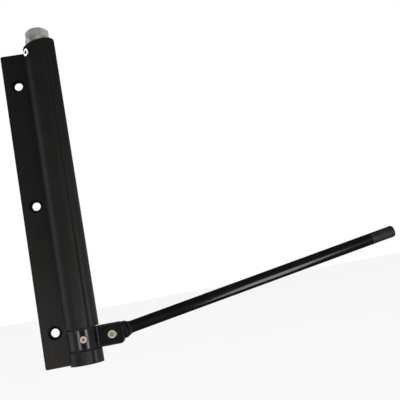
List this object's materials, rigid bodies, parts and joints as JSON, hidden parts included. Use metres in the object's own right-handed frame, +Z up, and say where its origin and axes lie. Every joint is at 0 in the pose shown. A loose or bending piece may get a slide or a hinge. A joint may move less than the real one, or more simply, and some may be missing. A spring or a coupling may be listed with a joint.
{
  "type": "door closer",
  "caption": "Spring door closer: tubular torsion spring body on a screw-on plate, with a hexagon tension adjuster, a swinging arm and a pivoted guide rod.",
  "frame": {"origin": "centre of the middle screw hole, on the plate's back face", "axes": "+X across from the plate to the tube, +Y through the back face into the wall or door, +Z up along the tube"},
  "size_m": [0.2497, 0.022, 0.2318],
  "materials": {
    "black_anodised": "satin black anodised extrusion",
    "grey_casting": "satin grey zinc casting",
    "gloss_black_steel": "smooth gloss black coating on steel",
    "bright_steel": "bright nickel-plated steel",
    "turned_steel": "turned steel",
    "spring_steel": "oiled dark spring steel",
    "bronze": "sintered bronze",
    "bush_plastic": "black acetal",
    "black_plastic": "matte black moulding",
    "black_washer": "black oxide washer"
  },
  "bodies": {
    "body": {"housing": "black_anodised", "upper_bush": "bush_plastic", "lower_bush": "bush_plastic", "bottom_cap": "black_plastic"},
    "adjuster": {"tension_adjuster": "grey_casting"},
    "lock": {"lock_screw": "bright_steel"},
    "arm": {"arm_spindle": "turned_steel", "spring_seat": "grey_casting", "core_rod": "spring_steel", "torsion_spring": "spring_steel", "thrust_washers": "turned_steel", "retaining_ring": "spring_steel", "arm_strap": "gloss_black_steel", "arm_screw": "bright_steel", "pivot_screw": "bright_steel", "pivot_washer": "black_washer", "nut_washer": "black_washer", "pivot_nut": "bright_steel", "rod_washers": "bush_plastic"},
    "rod": {"guide_rod": "gloss_black_steel", "pivot_sleeve": "bronze", "rod_end_cap": "black_plastic"}
  },
  "joints": [
    {"name": "arm_swing", "type": "hinge", "parent": "body", "child": "arm", "pos_m": [0.0194, -0.011, -0.0939], "axis": [0, 0, -1], "range_deg": [0, 160], "stiffness_Nm_per_rad": 1.2, "springref_deg": -85.94, "deforming": ["torsion_spring"]},
    {"name": "rod_pivot", "type": "hinge", "parent": "arm", "child": "rod", "pos_m": [0.0386, -0.011, -0.0939], "axis": [0, -1, 0], "range_deg": [-89, 70]},
    {"name": "adjuster_turn", "type": "hinge", "parent": "body", "child": "adjuster", "pos_m": [0.0194, -0.011, 0.1], "axis": [0, 0, 1], "range_deg": [0, 360], "deforming": ["torsion_spring"]},
    {"name": "lock_screw_travel", "type": "slide", "parent": "body", "child": "lock", "axis": [-0.7071, -0.7071, 0], "range_m": [0, 0.0025]}
  ]
}
